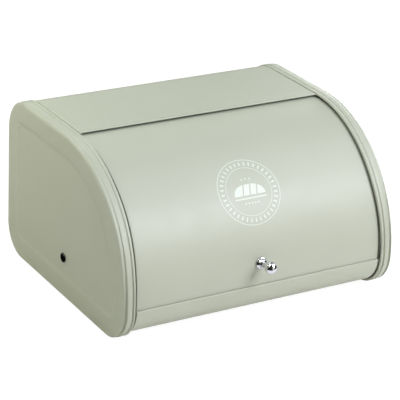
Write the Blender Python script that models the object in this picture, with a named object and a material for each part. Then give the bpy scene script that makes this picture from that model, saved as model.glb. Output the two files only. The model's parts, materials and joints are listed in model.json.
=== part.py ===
"""Bread bin with a roll-back lid: painted sheet steel, chrome ball knob.

Side profile coordinates are (depth, height): depth runs forwards from the back of the bin, height
upwards from the lowest edge of the end panels. World +Z is up and the front faces -Y.
"""

from math import acos, asin, atan2, cos, degrees, pi, radians, sin, sqrt

import bmesh
import bpy
from mathutils import Matrix, Vector

MM = 0.001

# Driving dimensions
WIDTH = 340 * MM
HEIGHT = 192 * MM
PIVOT_DEPTH = 145.4 * MM
PIVOT_HEIGHT = 46.5 * MM
REAR_TOP_RADIUS = 42.5 * MM
REAR_BOTTOM_RADIUS = 35.3 * MM
FRONT_BOTTOM_RADIUS = 41.7 * MM
SHEET = 0.7 * MM
HEM = 1.5 * MM  # a hemmed edge: the sheet folded back on itself
FIT_GAP = 0.3 * MM
TOP_INSET = 1.3 * MM  # how far each sheet lies below the end panels' rims
BASE_INSET = 3.1 * MM
LID_INSET = 5.0 * MM
SHEET_HALF_WIDTH = 168 * MM
LID_HALF_WIDTH = 165.2 * MM
STEP_SIDE = 152.4 * MM  # outside this the sheets are stepped down, to run under the end panels' rims
LID_STEP_SIDE = 151.4 * MM
STEP_WIDTH = 0.8 * MM
STEP_DEPTH = 2.2 * MM
FOOT_STANDOFF = 1.0 * MM  # the feet reach this far below the end panels

# Worked out from them
FRONT_RADIUS = HEIGHT - PIVOT_HEIGHT
LID_RADIUS = FRONT_RADIUS - LID_INSET
LID_EDGE_RADIUS = LID_RADIUS - STEP_DEPTH
FRONT_CORNER_DROP = FRONT_BOTTOM_RADIUS - PIVOT_HEIGHT
FRONT_CORNER_REACH = sqrt((FRONT_RADIUS - FRONT_BOTTOM_RADIUS) ** 2 - FRONT_CORNER_DROP**2)
FRONT_CORNER_ANGLE = degrees(atan2(FRONT_CORNER_DROP, FRONT_CORNER_REACH))
FRONT_CORNER_DEPTH = PIVOT_DEPTH + FRONT_CORNER_REACH

# Lid: angles are about the pivot, from straight forwards, and grow upwards and backwards
LID_LOW_ANGLE = -4.2
LID_HIGH_ANGLE = 95.0
HEM_LENGTH = 8 * MM
HEM_ANGLE = degrees(HEM_LENGTH / LID_RADIUS)
HEM_STEP = 0.6  # degrees over which a hem thins down to the plain sheet
APRON_TOP_ANGLE = -2.5
APRON_HEM_ANGLE = degrees(HEM_LENGTH / FRONT_BOTTOM_RADIUS)
LIP_DEPTH = 144.5 * MM
LAP_HEIGHT = 40 * MM  # the two sheets overlap here, low on the back
LAP_TOP = 52 * MM
JOGGLE = SHEET + 2 * FIT_GAP

# Knob, measured along its own axis from the lid's outer face
KNOB_ANGLE = 7.7
KNOB_BALL_HEIGHT = 19.6 * MM
KNOB_BALL_RADIUS = 6.9 * MM
KNOB_STEM_RADIUS = 3.0 * MM
KNOB_COLLAR_RADIUS = 6.9 * MM
KNOB_COLLAR_HEIGHT = 5.0 * MM
KNOB_SOCKET_DEPTH = 11 * MM
KNOB_WASHER_RADIUS = 4.5 * MM
KNOB_SCREW_HEAD_RADIUS = 3.7 * MM
KNOB_REACH = (LID_RADIUS + KNOB_BALL_HEIGHT) * cos(radians(KNOB_ANGLE)) + KNOB_BALL_RADIUS

# The origin is under the middle of the whole object, knob included
BACK_Y = (PIVOT_DEPTH + KNOB_REACH) / 2

# Pivot hardware
SCREW_RADIUS = 2.0 * MM
SCREW_HOLE_RADIUS = 2.4 * MM
SCREW_HEAD_RADIUS = 5.4 * MM
SCREW_HEAD_HEIGHT = 2.2 * MM
BUSH_RADIUS = 4.0 * MM
BUSH_FLANGE_RADIUS = 6.5 * MM
ARM_BOSS_RADIUS = 14 * MM
ARM_THICKNESS = 0.8 * MM
ARM_FLANGE = 9 * MM
ARM_LOW_ANGLE = 0.0
ARM_HIGH_ANGLE = 91.0
NUT_ACROSS_FLATS = 7 * MM
NUT_HEIGHT = 3.2 * MM
WASHER_RADIUS = 6.0 * MM
WASHER_THICKNESS = 0.8 * MM

RIVET_ANGLES = (12, 45, 78)
RIVET_SIDE = 160.5 * MM
RIVET_RADIUS = 1.4 * MM
RIVET_HEAD_RADIUS = 2.3 * MM
RIVET_HEAD_HEIGHT = 0.7 * MM
RIVET_FLOAT = 0.2 * MM

BUFFER_SIDE = 120 * MM
BUFFER_WIDTH = 16 * MM
BUFFER_THICKNESS = 5.4 * MM
BUFFER_TOP_ANGLE = -9.8  # round the front bottom corner, from straight forwards
BUFFER_LOW_ANGLE = -20.0

FOOT_SIDE = 135 * MM
FOOT_DEPTHS = {"rear": 55 * MM, "front": 230 * MM}
FOOT_RADIUS = 7 * MM
FOOT_STEM_RADIUS = 2.5 * MM
FOOT_CAP_RADIUS = 4 * MM

# Pressed section of an end panel: (distance in from the outermost plane, distance inside the rim)
PANEL_OUTSIDE = (
    (1.2, 27.5), (0.2, 22.5), (0.0, 2.4), (0.5, 0.8), (1.3, 0.5), (2.2, 0.9), (2.7, 2.2), (4.3, 2.3),
    (5.4, 0.2), (6.4, 0.0), (10.8, 0.1), (11.5, 1.3), (12.4, 1.3), (13.0, 0.2), (14.0, 0.0),
    (14.9, 0.4), (15.4, 1.5),
)
PANEL_INSIDE = (
    (14.9, 1.9), (14.3, 1.1), (13.6, 0.9), (13.0, 2.1), (10.9, 2.1), (10.3, 0.9), (6.4, 0.8),
    (5.2, 3.1), (2.0, 3.1), (0.8, 4.5), (1.0, 22.5), (2.0, 27.5),
)
PANEL_FIELD = 1.2 * MM  # how deep the middle of the panel is pressed in
PANEL_THICKNESS = 0.8 * MM


def arc(centre, radius, first, last, steps):
    """Stations along an arc: (centre depth, centre height, radius, angle in degrees)."""
    return [(*centre, radius, first + (last - first) * i / steps) for i in range(steps + 1)]


def front_corner(first, last, steps):
    return arc((FRONT_CORNER_DEPTH, FRONT_BOTTOM_RADIUS), FRONT_BOTTOM_RADIUS, first, last, steps)


def front_arc(first, last, steps):
    return arc((PIVOT_DEPTH, PIVOT_HEIGHT), FRONT_RADIUS, first, last, steps)


def rear_top_corner(first, last, steps):
    centre = (REAR_TOP_RADIUS, HEIGHT - REAR_TOP_RADIUS)
    return arc(centre, REAR_TOP_RADIUS, first, last, steps)


def rear_bottom_corner(first, last, steps):
    centre = (REAR_BOTTOM_RADIUS, REAR_BOTTOM_RADIUS)
    return arc(centre, REAR_BOTTOM_RADIUS, first, last, steps)


def whole_outline():
    """The closed side profile of the end panels, anticlockwise from the front bottom corner."""
    return (
        front_corner(-90, FRONT_CORNER_ANGLE, 7)
        + front_arc(FRONT_CORNER_ANGLE, 90, 18)[1:]
        + rear_top_corner(90, 180, 6)
        + rear_bottom_corner(180, 270, 6)
    )


def on_profile(station, inset):
    """The (depth, height) of a station, moved inwards by inset."""
    depth, height, radius, angle = station
    reach = radius - inset
    return depth + reach * cos(radians(angle)), height + reach * sin(radians(angle))


def world(x, depth, height):
    return Vector((x, BACK_Y - depth, FOOT_STANDOFF + height))


def material(name, colour, metallic, roughness):
    made = bpy.data.materials.new(name)
    made.use_nodes = True
    shader = made.node_tree.nodes["Principled BSDF"]
    shader.inputs["Base Color"].default_value = (*colour, 1)
    shader.inputs["Metallic"].default_value = metallic
    shader.inputs["Roughness"].default_value = roughness
    return made


def ring_mesh(name, rings, hollow=False):
    """A closed body through rings of points; its two ends are capped, or joined where it is hollow."""
    shape = bmesh.new()
    loops = [[shape.verts.new(point) for point in ring] for ring in rings]
    pairs = list(zip(loops, loops[1:]))
    if hollow:
        pairs.append((loops[-1], loops[0]))
    else:
        shape.faces.new(loops[0])
        shape.faces.new(loops[-1])
    for lower, upper in pairs:
        count = len(lower)
        for i in range(count):
            j = (i + 1) % count
            shape.faces.new((lower[i], lower[j], upper[j], upper[i]))
    bmesh.ops.recalc_face_normals(shape, faces=shape.faces)
    mesh = bpy.data.meshes.new(name)
    shape.to_mesh(mesh)
    shape.free()
    mesh.shade_smooth()
    mesh.set_sharp_from_angle(angle=radians(30))
    return mesh


def add(name, mesh, finish, parent, matrix=None):
    """Puts a mesh in the scene under its parent, at a place given in the parent's own space."""
    piece = bpy.data.objects.new(name, mesh)
    bpy.context.collection.objects.link(piece)
    if finish and not mesh.materials:
        mesh.materials.append(finish)
    piece.parent = parent
    if matrix is not None:
        place(piece, matrix)
    return piece


def place(piece, matrix):
    piece.location = matrix.to_translation()
    piece.rotation_euler = matrix.to_euler()


def empty(name, matrix, parent=None):
    made = bpy.data.objects.new(name, None)
    bpy.context.collection.objects.link(made)
    made.parent = parent
    place(made, matrix)
    return made


def strip_mesh(name, section, half_width, step_side, origin=Vector((0, 0, 0))):
    """Sheet metal: section is a list of (outer point, inner point), run from side to side.

    Beyond step_side both edges are stepped down towards the inside.
    """
    columns = []
    for side in (-1, 1):
        step = [
            (side * half_width, STEP_DEPTH),
            (side * (step_side + STEP_WIDTH), STEP_DEPTH),
            (side * step_side, 0.0),
        ]
        columns += step if side < 0 else reversed(step)
    rings = []
    for outer, inner in section:
        inwards = (Vector(inner) - Vector(outer)).normalized()
        ring = [world(x, *(Vector(outer) + inwards * down)) - origin for x, down in columns]
        ring += [world(x, *(Vector(inner) + inwards * down)) - origin for x, down in reversed(columns)]
        rings.append(ring)
    return ring_mesh(name, rings)


def turned_mesh(name, outline, sides, hollow=False):
    """A round piece about its own +Z: outline is a list of (height, radius)."""
    rings = []
    for height, radius in outline:
        turn = [2 * pi * i / sides for i in range(sides)]
        rings.append([Vector((radius * cos(a), radius * sin(a), height)) for a in turn])
    return ring_mesh(name, rings, hollow)


def drill(target, cutter_mesh, name, matrix, parent):
    """Cuts a helper shape, which is never rendered, out of the target."""
    cutter = add(name, cutter_mesh, None, parent, matrix)
    cutter.hide_render = True
    cutter.display_type = "WIRE"
    cut = target.modifiers.new(name, "BOOLEAN")
    cut.object = cutter
    cut.operation = "DIFFERENCE"
    cut.solver = "EXACT"


def hole_mesh(name, radius, depth, sides=16):
    return turned_mesh(name, ((-depth / 2, radius), (depth / 2, radius)), sides)


def side_matrix(side, distance):
    """Places a turned piece on the pivot axis with its own +Z pointing outwards."""
    turn = Matrix.Rotation(side * pi / 2, 4, "Y")
    return Matrix.Translation((side * distance, 0, 0)) @ turn


def radial_matrix(x, angle, radius):
    """Places a turned piece on the lid with its own +Z pointing away from the pivot."""
    a = radians(angle)
    out = Vector((0, -cos(a), sin(a)))
    turn = out.to_track_quat("Z", "X").to_matrix().to_4x4()
    return Matrix.Translation(Vector((x, 0, 0)) + out * radius) @ turn


def end_panel(side, name, finish, frame, pivot):
    stations = whole_outline()
    rings = []
    for inward, inset in PANEL_OUTSIDE + PANEL_INSIDE:
        x = side * (WIDTH / 2 - inward * MM)
        rings.append([world(x, *on_profile(s, inset * MM)) for s in stations])
    panel = add(name, ring_mesh(name, rings), finish, frame)
    hole = hole_mesh(name + "_hole", SCREW_HOLE_RADIUS, 10 * MM)
    drill(panel, hole, name + "_pivot_hole", side_matrix(side, WIDTH / 2 - PANEL_FIELD), pivot)


def sheet_section(stations, inset, thickness):
    return [(on_profile(s, inset), on_profile(s, inset + thickness)) for s in stations]


def back_wall(height, inset, thickness):
    return (inset, height), (inset + thickness, height)


def base_and_apron_sheet(finish, frame):
    """Floor and front apron: the apron's top edge and the first stretch below it are hemmed."""
    hem_end = FRONT_CORNER_ANGLE - APRON_HEM_ANGLE
    hemmed = front_arc(APRON_TOP_ANGLE, FRONT_CORNER_ANGLE, 1)
    hemmed += front_corner(FRONT_CORNER_ANGLE, hem_end, 2)[1:]
    plain = front_corner(hem_end - HEM_STEP, -90, 7) + rear_bottom_corner(270, 180, 6)
    section = sheet_section(hemmed, BASE_INSET, HEM) + sheet_section(plain, BASE_INSET, SHEET)
    section.append(back_wall(LAP_TOP, BASE_INSET, SHEET))
    mesh = strip_mesh("base_and_apron_sheet", section, SHEET_HALF_WIDTH, STEP_SIDE)
    sheet = add("base_and_apron_sheet", mesh, finish, frame)
    hole = hole_mesh("foot_hole", FOOT_STEM_RADIUS + FIT_GAP, 8 * MM)
    for name, x, depth in foot_places():
        drill(sheet, hole, name + "_hole", Matrix.Translation(world(x, depth, BASE_INSET)), frame)


def back_and_top_sheet(finish, frame):
    """Back and fixed top: joggled inwards where it overlaps the base, hemmed at its front lip."""
    low = BASE_INSET + JOGGLE
    section = [
        back_wall(LAP_HEIGHT, low, SHEET),
        back_wall(LAP_TOP + 2 * MM, low, SHEET),
        back_wall(LAP_TOP + 6 * MM, TOP_INSET, SHEET),
    ]
    section += sheet_section(rear_top_corner(180, 90, 8), TOP_INSET, SHEET)
    top = HEIGHT - TOP_INSET
    hem_start = LIP_DEPTH - HEM_LENGTH
    section.append(((hem_start - MM, top), (hem_start - MM, top - SHEET)))
    section.append(((hem_start, top), (hem_start, top - HEM)))
    section.append(((LIP_DEPTH, top), (LIP_DEPTH, top - HEM)))
    mesh = strip_mesh("back_and_top_sheet", section, SHEET_HALF_WIDTH, STEP_SIDE)
    add("back_and_top_sheet", mesh, finish, frame)


def lid_sheet(finish, pivot):
    section = []
    first = LID_LOW_ANGLE + HEM_ANGLE
    last = LID_HIGH_ANGLE - HEM_ANGLE
    runs = (
        (LID_LOW_ANGLE, first, 1, HEM),
        (first + HEM_STEP, last - HEM_STEP, 22, SHEET),
        (last, LID_HIGH_ANGLE, 1, HEM),
    )
    for start, end, steps, thickness in runs:
        stations = front_arc(start, end, steps)
        section += sheet_section(stations, LID_INSET, thickness)
    centre = world(0, PIVOT_DEPTH, PIVOT_HEIGHT)
    mesh = strip_mesh("lid_sheet", section, LID_HALF_WIDTH, LID_STEP_SIDE, centre)
    lid = add("lid_sheet", mesh, finish, pivot)
    hole = hole_mesh("lid_hole", SCREW_HOLE_RADIUS, 8 * MM)
    drill(lid, hole, "knob_hole", radial_matrix(0, KNOB_ANGLE, LID_RADIUS), pivot)
    rivet_hole = hole_mesh("rivet_hole", RIVET_RADIUS + RIVET_FLOAT, 8 * MM, 12)
    for name, x, angle in rivet_places():
        place_at = radial_matrix(x, angle, LID_EDGE_RADIUS)
        drill(lid, rivet_hole, name + "_lid_hole", place_at, pivot)


def arm_outline(radius):
    """Edge of the fan-shaped plate about the pivot: its long arc, then the arc round its boss.

    The straight edges between them are tangents to the boss.
    """
    tangent = degrees(acos(ARM_BOSS_RADIUS / radius))
    fan = arc((0, 0), radius, ARM_LOW_ANGLE, ARM_HIGH_ANGLE, 18)
    boss = arc((0, 0), ARM_BOSS_RADIUS, ARM_HIGH_ANGLE + tangent, 360 + ARM_LOW_ANGLE - tangent, 8)
    return [on_profile(station, 0) for station in fan + boss]


def lid_arm(side, name, finish, pivot):
    """Fan-shaped plate with a flange that is riveted under the lid."""
    radius = LID_EDGE_RADIUS - SHEET - FIT_GAP
    outside = LID_HALF_WIDTH
    inside = LID_HALF_WIDTH - ARM_THICKNESS
    plate_rings = []
    for x in (side * outside, side * inside):
        plate_rings.append([Vector((x, -d, h)) for d, h in arm_outline(radius)])
    arm = add(name, ring_mesh(name, plate_rings), finish, pivot)
    flange_rings = []
    for station in arc((0, 0), radius, ARM_LOW_ANGLE, ARM_HIGH_ANGLE, 18):
        ring = []
        for x, inset in (
            (outside, 0), (outside - ARM_FLANGE, 0),
            (outside - ARM_FLANGE, ARM_THICKNESS), (outside, ARM_THICKNESS),
        ):
            depth, height = on_profile(station, inset)
            ring.append(Vector((side * x, -depth, height)))
        flange_rings.append(ring)
    flange = add(name + "_flange", ring_mesh(name + "_flange", flange_rings), None, pivot)
    flange.hide_render = True
    flange.display_type = "WIRE"
    join = arm.modifiers.new("flange", "BOOLEAN")
    join.object = flange
    join.operation = "UNION"
    join.solver = "EXACT"
    hole = hole_mesh(name + "_hole", BUSH_RADIUS + FIT_GAP, 10 * MM)
    drill(arm, hole, name + "_pivot_hole", side_matrix(side, outside), pivot)
    rivet_hole = hole_mesh(name + "_rivet_hole", RIVET_RADIUS + RIVET_FLOAT, 8 * MM, 12)
    for rivet, x, angle in rivet_places():
        if x * side > 0:
            place_at = radial_matrix(x, angle, LID_EDGE_RADIUS)
            drill(arm, rivet_hole, rivet + "_arm_hole", place_at, pivot)


def rivet_places():
    for side, word in ((-1, "left"), (1, "right")):
        for number, angle in enumerate(RIVET_ANGLES, 1):
            yield f"{word}_lid_rivet_{number}", side * RIVET_SIDE, angle


def lid_rivets(finish, pivot):
    """Heads on both faces of the joint; heights are from the outer face of the lid's side edge."""
    low = -(SHEET + FIT_GAP + ARM_THICKNESS + RIVET_FLOAT)
    mesh = turned_mesh(
        "lid_rivet",
        (
            (low - RIVET_HEAD_HEIGHT, RIVET_HEAD_RADIUS * 0.6),
            (low - RIVET_HEAD_HEIGHT / 2, RIVET_HEAD_RADIUS),
            (low, RIVET_HEAD_RADIUS),
            (low, RIVET_RADIUS),
            (RIVET_FLOAT, RIVET_RADIUS),
            (RIVET_FLOAT, RIVET_HEAD_RADIUS),
            (RIVET_FLOAT + RIVET_HEAD_HEIGHT / 2, RIVET_HEAD_RADIUS),
            (RIVET_FLOAT + RIVET_HEAD_HEIGHT, RIVET_HEAD_RADIUS * 0.6),
        ),
        12,
    )
    for name, x, angle in rivet_places():
        add(name, mesh, finish, pivot, radial_matrix(x, angle, LID_EDGE_RADIUS))


def pivot_hardware(side, word, finishes, pivot):
    """Screw, bush, washer and nut on the pivot axis; distances are from the middle of the bin."""
    field = WIDTH / 2 - PANEL_FIELD
    inner_face = field - PANEL_THICKNESS
    arm_in = LID_HALF_WIDTH - ARM_THICKNESS
    bush_out = inner_face - FIT_GAP
    bush_step = LID_HALF_WIDTH + FIT_GAP
    bush_in = arm_in - FIT_GAP
    washer_out = bush_in - FIT_GAP
    nut_out = washer_out - WASHER_THICKNESS - FIT_GAP
    nut_in = nut_out - NUT_HEIGHT
    screw_end = nut_in - MM
    head = field + FIT_GAP
    bore = SCREW_RADIUS + FIT_GAP / 2
    dark, nylon, steel = finishes
    screw = turned_mesh(
        f"{word}_pivot_screw",
        (
            (screw_end, SCREW_RADIUS * 0.8),
            (screw_end + 0.5 * MM, SCREW_RADIUS),
            (head, SCREW_RADIUS),
            (head, SCREW_HEAD_RADIUS),
            (head + SCREW_HEAD_HEIGHT * 0.5, SCREW_HEAD_RADIUS),
            (head + SCREW_HEAD_HEIGHT * 0.85, SCREW_HEAD_RADIUS * 0.82),
            (head + SCREW_HEAD_HEIGHT, SCREW_HEAD_RADIUS * 0.5),
        ),
        16,
    )
    add(f"{word}_pivot_screw", screw, dark, pivot, side_matrix(side, 0))
    bush = turned_mesh(
        f"{word}_pivot_bush",
        (
            (bush_in, bore), (bush_in, BUSH_RADIUS), (bush_step, BUSH_RADIUS),
            (bush_step, BUSH_FLANGE_RADIUS), (bush_out, BUSH_FLANGE_RADIUS), (bush_out, bore),
        ),
        20,
        hollow=True,
    )
    add(f"{word}_pivot_bush", bush, nylon, pivot, side_matrix(side, 0))
    washer = washer_mesh(f"{word}_pivot_washer", washer_out - WASHER_THICKNESS, bore, WASHER_RADIUS)
    add(f"{word}_pivot_washer", washer, steel, pivot, side_matrix(side, 0))
    nut = nut_mesh(f"{word}_pivot_nut", nut_in, bore)
    add(f"{word}_pivot_nut", nut, steel, pivot, side_matrix(side, 0))


def washer_mesh(name, low, bore, radius):
    high = low + WASHER_THICKNESS
    outline = ((low, bore), (low, radius), (high, radius), (high, bore))
    return turned_mesh(name, outline, 20, hollow=True)


def nut_mesh(name, low, bore):
    """A hexagon outside and a round bore inside, both with twelve points so that they join up."""
    flat = NUT_ACROSS_FLATS / 2
    rings = []
    for height, is_bore in ((low, True), (low, False), (low + NUT_HEIGHT, False), (low + NUT_HEIGHT, True)):
        ring = []
        for i in range(12):
            a = 2 * pi * i / 12
            radius = bore if is_bore else flat / (cos(radians(30)) if i % 2 else 1)
            ring.append(Vector((radius * cos(a), radius * sin(a), height)))
        rings.append(ring)
    return ring_mesh(name, rings, hollow=True)


def ball_outline():
    """Stem and ball: (height, radius) from the stem's foot to the top of the ball."""
    neck = degrees(asin(KNOB_STEM_RADIUS / KNOB_BALL_RADIUS))
    points = [(FIT_GAP, KNOB_STEM_RADIUS)]
    steps = 9
    for i in range(steps + 1):
        a = radians(180 - neck - (180 - neck - 10) * i / steps)
        points.append((KNOB_BALL_HEIGHT + KNOB_BALL_RADIUS * cos(a), KNOB_BALL_RADIUS * sin(a)))
    return points


def knob(finishes, lid_face):
    """Ball, collar, washer and screw, about the knob's own axis from the lid's outer face."""
    chrome, steel = finishes
    bore = SCREW_RADIUS + FIT_GAP / 2
    outline = ball_outline() + [(KNOB_BALL_HEIGHT + KNOB_BALL_RADIUS, 0.3 * MM)]
    outline = [(KNOB_SOCKET_DEPTH, bore), (FIT_GAP, bore)] + outline
    add("knob_ball", turned_mesh("knob_ball", outline, 20), chrome, lid_face)
    collar_bore = KNOB_STEM_RADIUS + FIT_GAP
    collar = turned_mesh(
        "knob_collar",
        (
            (FIT_GAP, collar_bore),
            (FIT_GAP, KNOB_COLLAR_RADIUS - 0.3 * MM),
            (FIT_GAP + 0.6 * MM, KNOB_COLLAR_RADIUS),
            (FIT_GAP + 1.5 * MM, KNOB_COLLAR_RADIUS - 0.5 * MM),
            (0.6 * KNOB_COLLAR_HEIGHT, 0.75 * KNOB_COLLAR_RADIUS),
            (KNOB_COLLAR_HEIGHT, 0.6 * KNOB_COLLAR_RADIUS),
            (KNOB_COLLAR_HEIGHT, collar_bore),
        ),
        20,
        hollow=True,
    )
    add("knob_collar", collar, chrome, lid_face)
    washer_high = -SHEET - FIT_GAP
    washer_low = washer_high - WASHER_THICKNESS
    washer = washer_mesh("knob_washer", washer_low, bore, KNOB_WASHER_RADIUS)
    add("knob_washer", washer, steel, lid_face)
    head = washer_low - FIT_GAP
    screw = turned_mesh(
        "knob_screw",
        (
            (head - SCREW_HEAD_HEIGHT, KNOB_SCREW_HEAD_RADIUS * 0.6),
            (head - SCREW_HEAD_HEIGHT * 0.7, KNOB_SCREW_HEAD_RADIUS * 0.92),
            (head, KNOB_SCREW_HEAD_RADIUS),
            (head, SCREW_RADIUS),
            (KNOB_SOCKET_DEPTH - 1.5 * MM, SCREW_RADIUS),
            (KNOB_SOCKET_DEPTH - MM, SCREW_RADIUS * 0.8),
        ),
        16,
    )
    add("knob_screw", screw, steel, lid_face)


def lid_buffer(side, word, finish, frame):
    """Rubber pad on the inside of the apron, under the closed lid's lower edge."""
    outer = BASE_INSET + HEM + FIT_GAP
    inner = outer + BUFFER_THICKNESS
    rings = []
    for x in (side * BUFFER_SIDE - BUFFER_WIDTH / 2, side * BUFFER_SIDE + BUFFER_WIDTH / 2):
        stations = front_corner(BUFFER_TOP_ANGLE, BUFFER_LOW_ANGLE, 4)
        ring = [world(x, *on_profile(s, outer)) for s in stations]
        ring += [world(x, *on_profile(s, inner)) for s in reversed(stations)]
        rings.append(ring)
    add(f"{word}_lid_buffer", ring_mesh(f"{word}_lid_buffer", rings), finish, frame)


def foot_places():
    for row, depth in FOOT_DEPTHS.items():
        for side, word in ((-1, "left"), (1, "right")):
            yield f"foot_{row}_{word}", side * FOOT_SIDE, depth


def feet(finish, frame):
    """Push-in rubber feet: a pad under the floor, a stem through it and a cap above."""
    below = FOOT_STANDOFF + BASE_INSET - FIT_GAP
    above = FOOT_STANDOFF + BASE_INSET + SHEET + FIT_GAP
    mesh = turned_mesh(
        "foot",
        (
            (0, FOOT_RADIUS - 0.8 * MM),
            (0.8 * MM, FOOT_RADIUS),
            (below, FOOT_RADIUS - 0.4 * MM),
            (below, FOOT_STEM_RADIUS),
            (above, FOOT_STEM_RADIUS),
            (above, FOOT_CAP_RADIUS),
            (above + 0.8 * MM, FOOT_CAP_RADIUS * 0.9),
            (above + 1.6 * MM, FOOT_CAP_RADIUS * 0.4),
        ),
        16,
    )
    for name, x, depth in foot_places():
        add(name, mesh, finish, frame, Matrix.Translation((x, BACK_Y - depth, 0)))


def main():
    for old in list(bpy.data.objects):
        bpy.data.objects.remove(old)
    sage = material("sage_paint", (0.50, 0.54, 0.43), 0.0, 0.42)
    chrome = material("chrome", (0.80, 0.80, 0.82), 1.0, 0.08)
    dark = material("dark_steel", (0.08, 0.08, 0.08), 1.0, 0.25)
    steel = material("zinc_plated_steel", (0.62, 0.62, 0.60), 1.0, 0.32)
    nylon = material("white_nylon", (0.80, 0.80, 0.76), 0.0, 0.50)
    rubber = material("grey_rubber", (0.10, 0.10, 0.10), 0.0, 0.80)

    frame = empty("bin_frame", Matrix())
    pivot_place = Matrix.Translation(world(0, PIVOT_DEPTH, PIVOT_HEIGHT))
    fixed_pivot = empty("fixed_pivot", pivot_place, frame)
    lid_pivot = empty("lid_pivot", pivot_place, frame)
    lid_face = empty("knob_axis", radial_matrix(0, KNOB_ANGLE, LID_RADIUS), lid_pivot)

    base_and_apron_sheet(sage, frame)
    back_and_top_sheet(sage, frame)
    lid_sheet(sage, lid_pivot)
    lid_rivets(steel, lid_pivot)
    knob((chrome, steel), lid_face)
    feet(rubber, frame)
    for side, word in ((-1, "left"), (1, "right")):
        end_panel(side, f"{word}_end_panel", sage, frame, fixed_pivot)
        lid_arm(side, f"{word}_lid_arm", sage, lid_pivot)
        pivot_hardware(side, word, (dark, nylon, steel), fixed_pivot)
        lid_buffer(side, word, rubber, frame)


main()
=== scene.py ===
"""Looks of the bread bin: fine painted sheet metal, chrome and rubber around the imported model.

Depth runs forwards from the back of the bin, height upwards from the lowest edge of the end
panels. World +Z is up and the front faces -Y. Angles on the lid are about its hinge, from straight
forwards, and grow upwards and backwards.
"""

import json
from math import acos, atan2, cos, degrees, exp, pi, radians, sin, sqrt, tan

import bmesh
import bpy
from mathutils import Matrix, Vector


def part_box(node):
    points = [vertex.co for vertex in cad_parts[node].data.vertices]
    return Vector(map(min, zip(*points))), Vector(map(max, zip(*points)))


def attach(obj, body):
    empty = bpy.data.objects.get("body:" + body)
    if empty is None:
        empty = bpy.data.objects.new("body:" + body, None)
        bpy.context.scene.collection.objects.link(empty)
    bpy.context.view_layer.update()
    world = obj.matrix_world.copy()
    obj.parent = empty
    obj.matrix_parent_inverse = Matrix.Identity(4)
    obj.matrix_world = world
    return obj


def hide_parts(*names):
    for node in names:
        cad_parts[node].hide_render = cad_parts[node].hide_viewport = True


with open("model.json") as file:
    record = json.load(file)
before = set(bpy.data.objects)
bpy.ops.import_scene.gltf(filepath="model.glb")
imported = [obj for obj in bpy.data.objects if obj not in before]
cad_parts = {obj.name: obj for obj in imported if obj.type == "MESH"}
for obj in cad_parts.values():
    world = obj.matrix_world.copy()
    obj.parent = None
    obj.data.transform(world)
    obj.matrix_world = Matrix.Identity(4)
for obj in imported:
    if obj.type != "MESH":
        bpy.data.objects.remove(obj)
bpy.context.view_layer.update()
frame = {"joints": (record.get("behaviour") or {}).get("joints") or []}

MM = 0.001

# Places and overall sizes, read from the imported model
HINGE = Vector(frame["joints"][0]["pos_m"])
PANEL_LOW, PANEL_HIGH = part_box("right_end_panel")
BACK = PANEL_HIGH.y
BASE = PANEL_LOW.z
HALF_WIDTH = PANEL_HIGH.x
HEIGHT = PANEL_HIGH.z - PANEL_LOW.z
PIVOT_DEPTH = BACK - HINGE.y
PIVOT_HEIGHT = HINGE.z - BASE
SHEET_HALF_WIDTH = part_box("back_and_top_sheet")[1].x
LID_HALF_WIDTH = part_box("lid_sheet")[1].x
LIP_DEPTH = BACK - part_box("back_and_top_sheet")[0].y

# Side profile
REAR_TOP_RADIUS = 42.5 * MM
REAR_BOTTOM_RADIUS = 35.3 * MM
FRONT_BOTTOM_RADIUS = 41.7 * MM
FRONT_RADIUS = HEIGHT - PIVOT_HEIGHT
FRONT_CORNER_DROP = FRONT_BOTTOM_RADIUS - PIVOT_HEIGHT
FRONT_CORNER_REACH = sqrt((FRONT_RADIUS - FRONT_BOTTOM_RADIUS) ** 2 - FRONT_CORNER_DROP**2)
FRONT_CORNER_ANGLE = degrees(atan2(FRONT_CORNER_DROP, FRONT_CORNER_REACH))
FRONT_CORNER_DEPTH = PIVOT_DEPTH + FRONT_CORNER_REACH

# Sheet metal
SHEET = 0.7 * MM
HEM = 1.5 * MM
HEM_LENGTH = 8 * MM
HEM_FADE = 0.9 * MM  # length over which a hem's second layer ends
FIT_GAP = 0.3 * MM
EDGE_ROUND = 0.15 * MM
CLOSED_EDGE = 0.02 * MM  # half the gap left at the very edge of a fold
TOP_INSET = 1.3 * MM
BASE_INSET = 3.1 * MM
LID_INSET = 5.0 * MM
# Towards its ends a sheet steps down, to run under the end panels' rims. Steps on the left and on
# the right, in mm: (distance from the middle low down and high up, depth reached, width).
BASE_STEPS = (((153.0, 153.0, 2.2, 0.8),), ((154.4, 154.4, 2.2, 0.8),))
TOP_STEPS = (((147.0, 147.0, 0.4, 0.6), (149.8, 149.8, 1.9, 0.8)), ((152.8, 152.8, 1.9, 0.8),))
LID_STEPS = (((152.8, 149.4, 2.2, 0.8),), ((154.4, 154.4, 2.2, 0.8),))
STEP_DEPTH = 2.2 * MM
LID_RADIUS = FRONT_RADIUS - LID_INSET
LID_EDGE_RADIUS = LID_RADIUS - STEP_DEPTH
LID_LOW_ANGLE = -4.2
LID_HIGH_ANGLE = 95.0
APRON_TOP_ANGLE = -2.5
LAP_HEIGHT = 40 * MM
LAP_TOP = 52 * MM
JOGGLE = SHEET + 2 * FIT_GAP
JOGGLE_START = 2 * MM  # above the lap
JOGGLE_LENGTH = 4 * MM

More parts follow.
